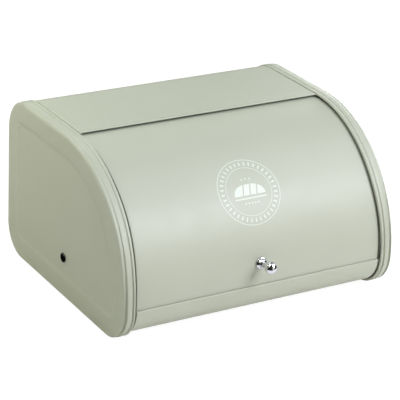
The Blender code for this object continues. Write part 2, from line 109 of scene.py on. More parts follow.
# Pressed section of an end panel, in mm: (distance in from the outermost plane, distance inside
# the rim, how far back from the corner its rounding starts), low down and high up. The beads are
# pressed deeper low down.
LOW_OUTSIDE = (
    (1.2, 32, 0), (1.2, 27.5, 2.4), (0.15, 22.5, 2.4), (0.0, 1.1, 0.9), (0.7, 0.4, 0.4),
    (1.3, 2.7, 0.4), (3.1, 2.8, 0.4), (4.2, 0.05, 0.7), (7.0, 0.0, 1.5), (9.0, 0.05, 0.5),
    (9.7, 1.8, 0.35), (10.8, 1.8, 0.35), (11.6, 0.0, 0.6), (13.1, 0.0, 0.8), (13.8, 2.0, 0.2),
)
LOW_INSIDE = (
    (13.3, 2.2, 0.2), (12.8, 0.9, 0.3), (12.2, 0.9, 0.3), (11.4, 2.6, 0.3), (9.1, 2.6, 0.3),
    (8.4, 0.85, 0.3), (4.8, 0.85, 0.4), (3.6, 3.55, 0.3), (1.0, 3.55, 0.3), (0.85, 4.6, 0.5),
    (0.95, 22.5, 2.4), (2.0, 27.5, 2.4), (2.0, 32, 0),
)
HIGH_OUTSIDE = (
    (1.2, 32, 0), (1.2, 27.5, 2.4), (0.15, 22.5, 2.4), (0.0, 2.8, 2.6), (2.3, 0.4, 1.4),
    (4.2, 0.65, 0.5), (5.4, 0.65, 0.5), (6.4, 0.05, 0.8), (8.6, 0.0, 1.5), (11.3, 0.05, 0.5),
    (12.1, 0.85, 0.4), (13.1, 0.85, 0.4), (13.9, 0.0, 0.6), (16.6, 0.0, 0.8), (17.3, 2.0, 0.2),
)
HIGH_INSIDE = (
    (16.8, 2.2, 0.2), (16.3, 0.9, 0.3), (14.5, 0.9, 0.3), (13.8, 1.65, 0.3), (11.5, 1.65, 0.3),
    (10.8, 0.85, 0.3), (6.9, 0.85, 0.4), (5.9, 1.5, 0.3), (3.4, 1.5, 0.3), (0.85, 4.6, 0.5),
    (0.95, 22.5, 2.4), (2.0, 27.5, 2.4), (2.0, 32, 0),
)
SECTION_LOW = 40 * MM  # height up to which the low section holds
SECTION_HIGH = 150 * MM  # height from which the high one does
PANEL_FIELD = 1.2 * MM
PANEL_THICKNESS = 0.8 * MM
CORNER_STEPS = 5

# Hardware
SCREW_RADIUS = 2.0 * MM
SCREW_HOLE_RADIUS = 2.4 * MM
SCREW_HEAD_RADIUS = 5.4 * MM
SCREW_HEAD_HEIGHT = 2.2 * MM
SCREW_PITCH = 0.7 * MM
THREAD_DEPTH = 0.3 * MM
BUSH_RADIUS = 4.0 * MM
BUSH_FLANGE_RADIUS = 6.5 * MM
ARM_BOSS_RADIUS = 14 * MM
ARM_THICKNESS = 0.8 * MM
ARM_FLANGE = 9 * MM
FLANGE_FADE = 2.5  # degrees over which a flange reaches its full width
FLANGE_BEND = 0.8 * MM
ARM_LOW_ANGLE = 0.0
ARM_HIGH_ANGLE = 91.0
NUT_ACROSS_FLATS = 7 * MM
NUT_HEIGHT = 3.2 * MM
WASHER_RADIUS = 6.0 * MM
WASHER_THICKNESS = 0.8 * MM
RIVET_ANGLES = (12, 45, 78)
RIVET_SIDE = 160.5 * MM
RIVET_RADIUS = 1.4 * MM
RIVET_HEAD_RADIUS = 2.3 * MM
RIVET_HEAD_HEIGHT = 0.7 * MM
RIVET_FLOAT = 0.2 * MM
BUFFER_TOP_ANGLE = -9.8
BUFFER_LOW_ANGLE = -20.0
BUFFER_THICKNESS = 5.4 * MM
FOOT_STEM_RADIUS = 2.5 * MM
FOOT_CAP_RADIUS = 4 * MM

# Knob, along its own axis from the lid's outer face
KNOB_ANGLE = 7.7
KNOB_BALL_HEIGHT = 19.6 * MM
KNOB_BALL_RADIUS = 6.88 * MM
KNOB_STEM_RADIUS = 3.0 * MM
NECK_FILLET = 0.4 * MM
KNOB_COLLAR_RADIUS = 6.88 * MM
KNOB_COLLAR_HEIGHT = 5.0 * MM
KNOB_SOCKET_DEPTH = 11 * MM
KNOB_WASHER_RADIUS = 4.5 * MM
KNOB_SCREW_HEAD_RADIUS = 3.7 * MM

# Studio: (name, azimuth, elevation, distance, width, height, power, colour)
WORLD_STRENGTH = 0.02
FLOOR_SHARE = 0.1  # how much of the visible floor's brightness comes from the lamps
FLOOR_GLOW = 0.95
BOUNCE_COLOUR = (1.0, 0.8, 0.45)
BOUNCE_GLOW = 0.1
LIGHTS = (
    ("key", 30, 35, 2.0, 0.9, 0.9, 29.5, (0.885, 0.895, 1.0)),
    ("front_low", 15, 4, 2.0, 1.0, 1.0, 4.2, (1.0, 0.97, 0.84)),
    ("left_high", -75, 60, 2.0, 0.9, 0.9, 12.6, (0.94, 0.97, 1.0)),
    ("left", -75, 35, 2.0, 0.9, 0.9, 1.8, (0.97, 1.0, 0.72)),
    ("rear_left", -122, 34, 0.8, 0.35, 0.35, 2.25, (1.0, 1.0, 0.88)),
    ("right_high", 55, 60, 2.0, 0.9, 0.9, 8, (0.86, 0.93, 1.0)),
    ("right", 85, 35, 2.0, 0.9, 0.9, 5.3, (0.96, 0.96, 1.0)),
    ("right_low", 125, 12, 2.0, 0.9, 0.9, 20.4, (1.0, 1.0, 1.0)),
    ("top", 0, 88, 2.0, 1.0, 1.0, 3, (0.88, 0.92, 1.0)),
    ("rear", 180, 50, 2.0, 1.0, 1.0, 8, (0.97, 0.98, 1.0)),
)

# Print on the lid, in mm from its centre
PRINT_ANGLE = 40.4
PRINT_LIFT = 0.04 * MM
PRINT_DEPTH = 0.06 * MM


def smooth(t):
    t = min(1.0, max(0.0, t))
    return t * t * (3 - 2 * t)


# Profile -----------------------------------------------------------------------------------------


def arc(centre, radius, first, last, steps):
    """Stations along an arc: (centre depth, centre height, radius, angle in degrees)."""
    return [(*centre, radius, first + (last - first) * i / steps) for i in range(steps + 1)]


def front_corner(first, last, steps):
    return arc((FRONT_CORNER_DEPTH, FRONT_BOTTOM_RADIUS), FRONT_BOTTOM_RADIUS, first, last, steps)


def front_arc(first, last, steps):
    return arc((PIVOT_DEPTH, PIVOT_HEIGHT), FRONT_RADIUS, first, last, steps)


def rear_top_corner(first, last, steps):
    return arc((REAR_TOP_RADIUS, HEIGHT - REAR_TOP_RADIUS), REAR_TOP_RADIUS, first, last, steps)


def rear_bottom_corner(first, last, steps):
    return arc((REAR_BOTTOM_RADIUS,) * 2, REAR_BOTTOM_RADIUS, first, last, steps)


def whole_outline():
    """The closed side profile of the end panels, anticlockwise from the front bottom corner."""
    return (
        front_corner(-90, FRONT_CORNER_ANGLE, 30)
        + front_arc(FRONT_CORNER_ANGLE, 90, 80)[1:]
        + rear_top_corner(90, 180, 30)
        + rear_bottom_corner(180, 270, 30)
    )


def on_profile(station, inset):
    """The (depth, height) of a station, moved inwards by inset."""
    depth, height, radius, angle = station
    reach = radius - inset
    return depth + reach * cos(radians(angle)), height + reach * sin(radians(angle))


def place(x, depth, height):
    return Vector((x, BACK - depth, BASE + height))


# Meshes ------------------------------------------------------------------------------------------


def finished(name, shape, finish, body, stands_for):
    """Makes an object of a bmesh, gives it its finish and puts it on its body."""
    bmesh.ops.recalc_face_normals(shape, faces=shape.faces)
    mesh = bpy.data.meshes.new(name)
    shape.to_mesh(mesh)
    shape.free()
    mesh.shade_smooth()
    mesh.set_sharp_from_angle(angle=radians(38))
    mesh.materials.append(finish)
    piece = bpy.data.objects.new(name, mesh)
    bpy.context.scene.collection.objects.link(piece)
    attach(piece, body)
    if stands_for:
        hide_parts(*stands_for)
    return piece


def skin(shape, rings, wrap=False, bends=None):
    """Quads through rings of points; wrap joins the last ring to the first.

    A ring of one point is a pole. bends gives each ring's value of the bend attribute: above 0 on
    a crest, below 0 in grooves. The paint turns it into a painted highlight on crests and painted
    shade in grooves.
    """
    layer = shape.verts.layers.float.get("bend") or shape.verts.layers.float.new("bend")
    loops = []
    for index, ring in enumerate(rings):
        loop = [shape.verts.new(point) for point in ring]
        for vertex in loop:
            vertex[layer] = bends[index] if bends else 0.0
        loops.append(loop)
    pairs = list(zip(loops, loops[1:]))
    if wrap:
        pairs.append((loops[-1], loops[0]))
    for lower, upper in pairs:
        count = max(len(lower), len(upper))
        for i in range(count):
            j = (i + 1) % count
            corners = []
            for loop, k in ((lower, i), (lower, j), (upper, j), (upper, i)):
                vertex = loop[k % len(loop)]
                if vertex not in corners:
                    corners.append(vertex)
            shape.faces.new(corners)
    return loops


def rounded(points, steps=CORNER_STEPS):
    """Rounds the corners of a path of (a, b, cut) and says how sharply each point bends.

    The result is a list of (a, b, bend); bend is above 0 where the path turns anticlockwise.
    """
    result = []
    for i, (a, b, cut) in enumerate(points):
        if not cut:
            result.append((a, b, 0.0))
            continue
        corner = Vector((a, b))
        before = Vector(points[i - 1][:2]) - corner
        after = Vector(points[(i + 1) % len(points)][:2]) - corner
        start = corner + before * min(0.48, cut / before.length)
        end = corner + after * min(0.48, cut / after.length)
        turn = -before.x * after.y + before.y * after.x
        turn /= before.length * after.length
        for step in range(steps + 1):
            t = step / steps
            point = start * (1 - t) ** 2 + corner * 2 * t * (1 - t) + end * t * t
            result.append((point.x, point.y, turn * 4 * t * (1 - t)))
    return result


def turned(name, outline, sides, finish, body, matrix, stands_for, wrap=False, radius_of=None):
    """A round piece: outline is a list of (height, radius) along its own +Z."""
    shape = bmesh.new()
    rings = []
    for height, radius in outline:
        if radius == 0:
            rings.append([matrix @ Vector((0, 0, height))])
            continue
        ring = []
        for i in range(sides):
            a = 2 * pi * i / sides
            reach = radius_of(height, radius, a) if radius_of else radius
            ring.append(matrix @ Vector((reach * cos(a), reach * sin(a), height)))
        rings.append(ring)
    skin(shape, rings, wrap)
    return finished(name, shape, finish, body, stands_for)


def side_matrix(side):
    """Places a turned piece on the hinge axis with its own +Z pointing outwards."""
    return Matrix.Translation(HINGE) @ Matrix.Rotation(side * pi / 2, 4, "Y")


def radial_matrix(x, angle, radius):
    """Places a turned piece on the lid with its own +Z pointing away from the hinge."""
    out = Vector((0, -cos(radians(angle)), sin(radians(angle))))
    turn = out.to_track_quat("Z", "X").to_matrix().to_4x4()
    return Matrix.Translation(HINGE + Vector((x, 0, 0)) + out * radius) @ turn


# Sheet metal -------------------------------------------------------------------------------------


def share_of_high(height):
    """How much of the pressed section's high form there is at a height above the base."""
    return smooth((height - SECTION_LOW) / (SECTION_HIGH - SECTION_LOW))


def end_panel(side, word, paint):
    """Pressed end panel: ribbed rim, land, recessed field and the hole for the hinge screw."""
    stations = whole_outline()
    shares = []
    for station in stations:
        shares.append(share_of_high(on_profile(station, 0.0)[1]))
    rings = []
    bends = []
    low_section = rounded(LOW_OUTSIDE) + rounded(LOW_INSIDE)
    high_section = rounded(HIGH_OUTSIDE) + rounded(HIGH_INSIDE)
    for low, high in zip(low_section, high_section):
        ring = []
        for station, share in zip(stations, shares):
            inward, inset = (a + (b - a) * share for a, b in zip(low[:2], high[:2]))
            ring.append(place(side * (HALF_WIDTH - inward * MM), *on_profile(station, inset * MM)))
        rings.append(ring)
        # The section's bends paint the rim's crests lighter and its grooves darker: painted highlight and
        # painted shade.
        bends.append(0.5 * (low[2] + high[2]))
    outer_hole, inner_hole = (hole_in_field(ring) for ring in (rings[0], rings[-1]))
    shape = bmesh.new()
    skin(shape, [outer_hole, *rings, inner_hole], wrap=True, bends=[0.0, *bends, 0.0])
    finished(f"{word}_panel", shape, paint, "bin", [f"{word}_end_panel"])


def hole_in_field(ring):
    """The screw hole's edge, with a point in line with each one of the ring."""
    hole = []
    for point in ring:
        centre = Vector((point.x, HINGE.y, HINGE.z))
        hole.append(centre + (point - centre).normalized() * SCREW_HOLE_RADIUS)
    return hole


def plain_run(stations, inset):
    return [(*on_profile(s, inset), *on_profile(s, inset + SHEET), 0.0) for s in stations]


def hem_distances():
    """Distances from a hem's free edge: fine round the fold and where the second layer ends."""
    half = HEM / 2
    fold = [half * (1 - cos(radians(a))) for a in range(0, 91, 10)]
    flat = [half + (HEM_LENGTH - HEM_FADE - half) * i / 6 for i in range(1, 7)]
    fade = [HEM_LENGTH - HEM_FADE * (1 - i / 5) for i in range(1, 6)]
    return fold + flat + fade


def hem_run(station_at, inset):
    """A folded edge from its free end inwards: a round fold, two layers, then the plain sheet."""
    half = HEM / 2
    run = []
    for distance in hem_distances():
        if distance < half:
            rise = half - sqrt(half**2 - (half - distance) ** 2)
            outer = min(rise, half - CLOSED_EDGE)
            inner = HEM - outer
        else:
            outer = 0.0
            inner = SHEET + (HEM - SHEET) * smooth((HEM_LENGTH - distance) / HEM_FADE)
        station = station_at(distance)
        # The bend peaks at the fold, where the paint is lightened into a painted highlight along the edge.
        bend = exp(-((distance / HEM) ** 2))
        run.append((*on_profile(station, inset + outer), *on_profile(station, inset + inner), bend))
    return run


def edge_steps(half_width, steps, share):
    """Places across a sheet, left to right, and how far each lies below its middle."""
    columns = []
    for side, side_steps in zip((-1, 1), steps):
        down = 0.0
        path = []
        for low, high, depth, width in side_steps:
            distance = low + (high - low) * share
            if not path:
                path.append((side * (distance - 4) * MM, 0.0, 0))
            path.append((side * distance * MM, down, 0.8 * width * MM))
            down = depth * MM
            path.append((side * (distance + width) * MM, down, 0.6 * width * MM))
        path.append((side * half_width, down, 0))
        places = [(x, below) for x, below, _ in rounded(path, 4)][:-1]
        columns += places[::side]
    return columns


def sheet_mesh(section, half_width, steps):
    """Sheet metal: section is a list of (outer point, inner point, bend), run from side to side."""
    rings = []
    bends = []
    for outer_depth, outer_height, inner_depth, inner_height, bend in section:
        outer = Vector((outer_depth, outer_height))
        inner = Vector((inner_depth, inner_height))
        through = inner - outer
        inwards = through.normalized()
        trim = inwards * min(EDGE_ROUND, 0.3 * through.length)
        left, right = (inwards * side_steps[-1][2] * MM for side_steps in steps)
        columns = edge_steps(half_width, steps, share_of_high(outer_height))
        near_edge = half_width - EDGE_ROUND
        ring = [(-half_width, outer + trim + left), (-near_edge, outer + left)]
        ring += [(x, outer + inwards * down) for x, down in columns]
        ring += [(near_edge, outer + right), (half_width, outer + trim + right)]
        ring += [(half_width, inner - trim + right), (near_edge, inner + right)]
        ring += [(x, inner + inwards * down) for x, down in reversed(columns)]
        ring += [(-near_edge, inner + left), (-half_width, inner - trim + left)]
        rings.append([place(x, *point) for x, point in ring])
        bends.append(bend)
    shape = bmesh.new()
    loops = skin(shape, rings, bends=bends)
    for loop in (loops[0], loops[-1]):
        shape.faces.new(loop)
    return shape


def apron_station(distance):
    """The station this far below the apron's top edge: on the front arc, then on its corner."""
    on_arc = radians(APRON_TOP_ANGLE - FRONT_CORNER_ANGLE) * FRONT_RADIUS
    if distance < on_arc:
        angle = APRON_TOP_ANGLE - degrees(distance / FRONT_RADIUS)
        return PIVOT_DEPTH, PIVOT_HEIGHT, FRONT_RADIUS, angle
    angle = FRONT_CORNER_ANGLE - degrees((distance - on_arc) / FRONT_BOTTOM_RADIUS)
    return FRONT_CORNER_DEPTH, FRONT_BOTTOM_RADIUS, FRONT_BOTTOM_RADIUS, angle


def lid_station(angle):
    return PIVOT_DEPTH, PIVOT_HEIGHT, FRONT_RADIUS, angle


def base_and_apron(paint):
    """Floor and front apron: hemmed along the apron's top edge, and lapped by the back sheet."""
    section = hem_run(apron_station, BASE_INSET)
    hem_end = apron_station(HEM_LENGTH)[3]
    plain = front_corner(hem_end, -90, 40)[1:] + rear_bottom_corner(270, 180, 36)
    section += plain_run(plain, BASE_INSET)
    # The cut edge at the lap gets a bend of 0.5, which lightens its paint: a painted highlight.
    for below, trim in ((EDGE_ROUND, 0.0), (0.0, EDGE_ROUND)):
        high = LAP_TOP - below
        section.append((BASE_INSET + trim, high, BASE_INSET + SHEET - trim, high, 0.5))
    shape = sheet_mesh(section, SHEET_HALF_WIDTH, BASE_STEPS)
    finished("base_and_apron", shape, paint, "bin", ["base_and_apron_sheet"])


def back_and_top(paint):
    """Back and fixed top: joggled inwards where it overlaps the base, hemmed at its front lip."""
    low = BASE_INSET + JOGGLE
    section = []
    # The cut edge at the lap gets a bend of 0.5, which lightens its paint: a painted highlight.
    for above, trim in ((0.0, EDGE_ROUND), (EDGE_ROUND, 0.0)):
        high = LAP_HEIGHT + above
        section.append((low + trim, high, low + SHEET - trim, high, 0.5))
    for i in range(9):
        t = i / 8
        inset = low - (low - TOP_INSET) * smooth(t)
        high = LAP_TOP + JOGGLE_START + JOGGLE_LENGTH * t
        # Along the joggle the bend swings up and down, painting one of its bends lighter and the other darker:
        # painted highlight and painted shade.
        section.append((inset, high, inset + SHEET, high, 0.6 * sin(2 * pi * t)))
    section += plain_run(rear_top_corner(180, 90, 40), TOP_INSET)
    hem = hem_run(lambda distance: (LIP_DEPTH - distance, 0.0, HEIGHT, 90.0), TOP_INSET)
    section += reversed(hem)
    shape = sheet_mesh(section, SHEET_HALF_WIDTH, TOP_STEPS)
    finished("back_and_top", shape, paint, "bin", ["back_and_top_sheet"])


def lid_shell(paint):
    """Curved lid, hemmed along both its straight edges."""
    hem_angle = degrees(HEM_LENGTH / LID_RADIUS)
    middle = front_arc(LID_LOW_ANGLE + hem_angle, LID_HIGH_ANGLE - hem_angle, 120)[1:-1]
    section = hem_run(lambda d: lid_station(LID_LOW_ANGLE + degrees(d / LID_RADIUS)), LID_INSET)
    section += plain_run(middle, LID_INSET)
    high_hem = hem_run(lambda d: lid_station(LID_HIGH_ANGLE - degrees(d / LID_RADIUS)), LID_INSET)
    section += reversed(high_hem)
    shape = sheet_mesh(section, LID_HALF_WIDTH, LID_STEPS)
    finished("lid_shell", shape, paint, "lid", ["lid_sheet"])


def lid_arm(side, word, paint):
    """Fan-shaped plate about the hinge, with a flange bent inwards along its long arc."""
    radius = LID_EDGE_RADIUS - SHEET - FIT_GAP
    tangent = degrees(acos(ARM_BOSS_RADIUS / radius))
    lip = ARM_THICKNESS + 2 * EDGE_ROUND
    edge = []
    for i in range(92):
        angle = ARM_LOW_ANGLE + (ARM_HIGH_ANGLE - ARM_LOW_ANGLE) * i / 91
        from_end = min(angle - ARM_LOW_ANGLE, ARM_HIGH_ANGLE - angle)
        edge.append((radius, angle, lip + (ARM_FLANGE - lip) * smooth(from_end / FLANGE_FADE)))
    for i in range(41):
        first = ARM_HIGH_ANGLE + tangent
        last = 360 + ARM_LOW_ANGLE - tangent
        edge.append((ARM_BOSS_RADIUS, first + (last - first) * i / 40, lip))
    hole = BUSH_RADIUS + FIT_GAP
    columns = []
    for reach, angle, flange in edge:
        path = rounded(
            (
                (0.0, hole, 0), (0.0, reach, FLANGE_BEND), (flange, reach, EDGE_ROUND),
                (flange, reach - ARM_THICKNESS, EDGE_ROUND),
                (ARM_THICKNESS, reach - ARM_THICKNESS, EDGE_ROUND), (ARM_THICKNESS, hole, 0),
            )
        )
        out = Vector((0, -cos(radians(angle)), sin(radians(angle))))
        column = [HINGE + out * r + Vector((side * (LID_HALF_WIDTH - x), 0, 0)) for x, r, _ in path]
        columns.append(column)
    shape = bmesh.new()
    skin(shape, list(zip(*columns)), wrap=True, bends=[bend for _, _, bend in path])
    finished(f"{word}_arm", shape, paint, "lid", [f"{word}_lid_arm"])


# Hardware ----------------------------------------------------------------------------------------


def thread(first, last):
    """A radius that rises and falls along a helix between two heights."""

    def reach(height, radius, angle):
        if not first < height < last:
            return radius
        phase = (height / SCREW_PITCH - angle / (2 * pi)) % 1
        return radius - THREAD_DEPTH * (1 - abs(2 * phase - 1)) * 0.9

    return reach


def thread_heights(first, last):
    steps = round((last - first) / (SCREW_PITCH / 6))
    return [first + (last - first) * i / steps for i in range(steps + 1)]


def screw_outline(tip, head, radius, height):
    """Shaft with a threaded end, and a pan head whose seat is at height head."""
    upwards = 1 if head > tip else -1
    outline = [(tip, 0), (tip, SCREW_RADIUS * 0.7), (tip + upwards * 0.4 * MM, SCREW_RADIUS)]
    end = tip + upwards * 7 * MM
    outline += [(h, SCREW_RADIUS) for h in thread_heights(outline[-1][0], end)[1:]]
    outline += [(head, SCREW_RADIUS), (head, radius - 0.2 * MM), (head + upwards * 0.2 * MM, radius)]
    for a in range(0, 91, 9):
        rise = 0.35 + 0.65 * sin(radians(a))
        outline.append((head + upwards * height * rise, radius * cos(radians(a)) ** 0.62))
    outline[-1] = (outline[-1][0], 0)
    return outline


def cut_recess(piece, matrix, top, size):
    """Cuts a tapered cross into a screw's head; top is its height, and below it lies the head."""
    inwards = -1 if top > 0 else 1
    for turn in (0, pi / 2):
        shape = bmesh.new()
        rings = []
        for down, share in ((-0.4 * MM, 1.1), (size * 0.75, 0.55)):
            half_length, half_width = size * share, size * 0.19 * share
            ring = []
            for u, v in ((-1, -1), (1, -1), (1, 1), (-1, 1)):
                flat = Vector((u * half_length, v * half_width, top + inwards * down))
                ring.append(matrix @ Matrix.Rotation(turn, 4, "Z") @ flat)
            rings.append(ring)
        for loop in skin(shape, rings):
            shape.faces.new(loop)
        bmesh.ops.recalc_face_normals(shape, faces=shape.faces)
        mesh = bpy.data.meshes.new("recess")
        shape.to_mesh(mesh)
        shape.free()
        cutter = bpy.data.objects.new("recess", mesh)
        bpy.context.scene.collection.objects.link(cutter)
        cut = piece.modifiers.new("recess", "BOOLEAN")
        cut.object = cutter
        cut.operation = "DIFFERENCE"
        bpy.context.view_layer.update()
        solid = piece.evaluated_get(bpy.context.evaluated_depsgraph_get())
        piece.data = bpy.data.meshes.new_from_object(solid)
        piece.data.set_sharp_from_angle(angle=radians(38))
        piece.modifiers.clear()
        bpy.data.objects.remove(cutter)


def hinge_hardware(side, word, finishes):
    """Screw, bush, washer and nut on the hinge axis; heights are from the middle of the bin."""
    dark, steel, nylon = finishes
    matrix = side_matrix(side)
    field = HALF_WIDTH - PANEL_FIELD
    inner_face = field - PANEL_THICKNESS
    bush_out = inner_face - FIT_GAP
    bush_step = LID_HALF_WIDTH + FIT_GAP
    bush_in = LID_HALF_WIDTH - ARM_THICKNESS - FIT_GAP
    washer_out = bush_in - FIT_GAP
    washer_in = washer_out - WASHER_THICKNESS
    nut_out = washer_in - FIT_GAP
    nut_in = nut_out - NUT_HEIGHT
    tip = nut_in - MM
    head = field + FIT_GAP
    bore = SCREW_RADIUS + FIT_GAP / 2
    outline = screw_outline(tip, head, SCREW_HEAD_RADIUS, SCREW_HEAD_HEIGHT)
    screw = turned(
        f"{word}_screw", outline, 48, dark, "bin", matrix, [f"{word}_pivot_screw"],
        radius_of=thread(tip + 0.4 * MM, tip + 7 * MM),
    )
    cut_recess(screw, matrix, head + SCREW_HEAD_HEIGHT, 2.8 * MM)
    bush = rounded(
        (
            (bush_in, bore, 0.1 * MM), (bush_in, BUSH_RADIUS, 0.25 * MM),
            (bush_step, BUSH_RADIUS, 0.1 * MM), (bush_step, BUSH_FLANGE_RADIUS, 0.25 * MM),
            (bush_out, BUSH_FLANGE_RADIUS, 0.25 * MM), (bush_out, bore, 0.1 * MM),
        ),
        3,
    )
    turned(
        f"{word}_bush", [(h, r) for h, r, _ in bush], 48, nylon, "bin", matrix,
        [f"{word}_pivot_bush"], wrap=True,
    )
    washer(f"{word}_washer", washer_in, WASHER_RADIUS, steel, "bin", matrix, f"{word}_pivot_washer")
    nut(f"{word}_nut", nut_in, bore, steel, matrix, f"{word}_pivot_nut")


def washer(name, low, radius, finish, body, matrix, node):
    bore = SCREW_RADIUS + FIT_GAP / 2
    high = low + WASHER_THICKNESS
    path = rounded(
        ((low, bore, 0.1 * MM), (low, radius, 0.2 * MM), (high, radius, 0.2 * MM), (high, bore, 0.1 * MM)),
        3,
    )
    outline = [(h, r) for h, r, _ in path]
    turned(name, outline, 48, finish, body, matrix, [node], wrap=True)


def nut(name, low, bore, finish, matrix, node):
    """A hexagon nut with its corners turned off on both faces."""
    flat = NUT_ACROSS_FLATS / 2
    sides = 72
    hexagon = []
    for i in range(sides):
        within = (i * 360 / sides + 30) % 60 - 30
        hexagon.append(flat / cos(radians(within)))
    rows = []
    high = low + NUT_HEIGHT
    for face, inwards in ((low, 1), (high, -1)):
        bored = [(face + inwards * 0.3 * MM, bore)] * sides
        mouth = [(face, bore + 0.3 * MM)] * sides
        crown = [(face, flat * 0.97)] * sides
        edge = [(face + inwards * max(0.0, r - flat * 0.97) * tan(radians(30)), r) for r in hexagon]
        rows += [bored, mouth, crown, edge] if inwards > 0 else [edge, crown, mouth, bored]
    rings = []
    for row in rows:
        ring = []
        for i, (height, radius) in enumerate(row):
            a = 2 * pi * i / sides
            ring.append(matrix @ Vector((radius * cos(a), radius * sin(a), height)))
        rings.append(ring)
    shape = bmesh.new()
    skin(shape, rings, wrap=True)
    finished(name, shape, finish, "bin", [node])


def lid_rivets(steel):
    """Domed heads on both faces of the joint; heights are from the outer face of the lid's edge."""
    low = -(SHEET + FIT_GAP + ARM_THICKNESS + RIVET_FLOAT)

    def head(seat, upwards):
        dome = [(seat, RIVET_HEAD_RADIUS)]
        for a in range(15, 90, 15):
            rise = RIVET_HEAD_HEIGHT * sin(radians(a))
            dome.append((seat + upwards * rise, RIVET_HEAD_RADIUS * cos(radians(a)) ** 0.8))
        return dome + [(seat + upwards * RIVET_HEAD_HEIGHT, 0)]

    outline = head(low, -1)[::-1] + [(low, RIVET_RADIUS), (RIVET_FLOAT, RIVET_RADIUS)]
    outline += head(RIVET_FLOAT, 1)
    for side, word in ((-1, "left"), (1, "right")):
        for number, angle in enumerate(RIVET_ANGLES, 1):
            matrix = radial_matrix(side * RIVET_SIDE, angle, LID_EDGE_RADIUS)
            name = f"{word}_rivet_{number}"
            node = f"{word}_lid_rivet_{number}"
            turned(name, outline, 32, steel, "lid", matrix, [node])


def knob(chrome, steel):
    """Ball and stem, collar, washer and screw about the knob's own axis."""
    matrix = radial_matrix(0, KNOB_ANGLE, LID_RADIUS)
    bore = SCREW_RADIUS + FIT_GAP / 2
    neck = degrees(acos(KNOB_STEM_RADIUS / KNOB_BALL_RADIUS)) - 90
    stem_top = KNOB_BALL_HEIGHT + KNOB_BALL_RADIUS * sin(radians(neck))
    ball = [(KNOB_SOCKET_DEPTH, 0), (KNOB_SOCKET_DEPTH, bore), (FIT_GAP, bore)]
    ball += [(FIT_GAP, KNOB_STEM_RADIUS), (stem_top - NECK_FILLET, KNOB_STEM_RADIUS)]
    for i in range(41):
        a = radians(neck + 6 + (84 - neck) * i / 40)
        ball.append((KNOB_BALL_HEIGHT + KNOB_BALL_RADIUS * sin(a), KNOB_BALL_RADIUS * cos(a)))
    ball[-1] = (KNOB_BALL_HEIGHT + KNOB_BALL_RADIUS, 0)
    turned("ball", ball, 72, chrome, "lid", matrix, ["knob_ball"])
    collar_bore = KNOB_STEM_RADIUS + FIT_GAP
    path = rounded(
        (
            (FIT_GAP, collar_bore, 0.1 * MM), (FIT_GAP, KNOB_COLLAR_RADIUS, 0.3 * MM),
            (FIT_GAP + 1.2 * MM, KNOB_COLLAR_RADIUS, 0.5 * MM),
            (0.55 * KNOB_COLLAR_HEIGHT, 0.80 * KNOB_COLLAR_RADIUS, 1.2 * MM),
            (KNOB_COLLAR_HEIGHT, 0.62 * KNOB_COLLAR_RADIUS, 0.5 * MM),
            (KNOB_COLLAR_HEIGHT, collar_bore, 0.2 * MM),
        )
    )
    outline = [(h, r) for h, r, _ in path]
    turned("collar", outline, 72, chrome, "lid", matrix, ["knob_collar"], wrap=True)
    low = -SHEET - FIT_GAP - WASHER_THICKNESS
    washer("inside_washer", low, KNOB_WASHER_RADIUS, steel, "lid", matrix, "knob_washer")
    head = low - FIT_GAP
    tip = KNOB_SOCKET_DEPTH - MM
    outline = screw_outline(tip, head, KNOB_SCREW_HEAD_RADIUS, SCREW_HEAD_HEIGHT)
    screw = turned(
        "inside_screw", outline, 48, steel, "lid", matrix, ["knob_screw"],
        radius_of=thread(tip - 7 * MM, tip - 0.4 * MM),
    )
    cut_recess(screw, matrix, head - SCREW_HEAD_HEIGHT, 2.0 * MM)


# Rubber ------------------------------------------------------------------------------------------


def foot(name, rubber):
    """Push-in foot: a dished pad below the floor, a stem through it and a cap above."""
    low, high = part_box(name)
    matrix = Matrix.Translation(((low.x + high.x) / 2, (low.y + high.y) / 2, 0))
    radius = (high.x - low.x) / 2
    below = BASE + BASE_INSET - FIT_GAP
    above = BASE + BASE_INSET + SHEET + FIT_GAP
    path = rounded(
        (
            (0.0, radius * 0.62, 0.2 * MM), (0.0, radius, 0.6 * MM), (below, radius, 0.5 * MM),
            (below, FOOT_STEM_RADIUS, 0.2 * MM), (above, FOOT_STEM_RADIUS, 0.2 * MM),
            (above, FOOT_CAP_RADIUS, 0.3 * MM), (high.z, FOOT_CAP_RADIUS * 0.5, 0.8 * MM),
        ),
        4,
    )
    outline = [(0.5 * MM, 0), (0.5 * MM, radius * 0.5), *[(h, r) for h, r, _ in path], (high.z, 0)]
    turned(f"rubber_{name}", outline, 48, rubber, "bin", matrix, [name])


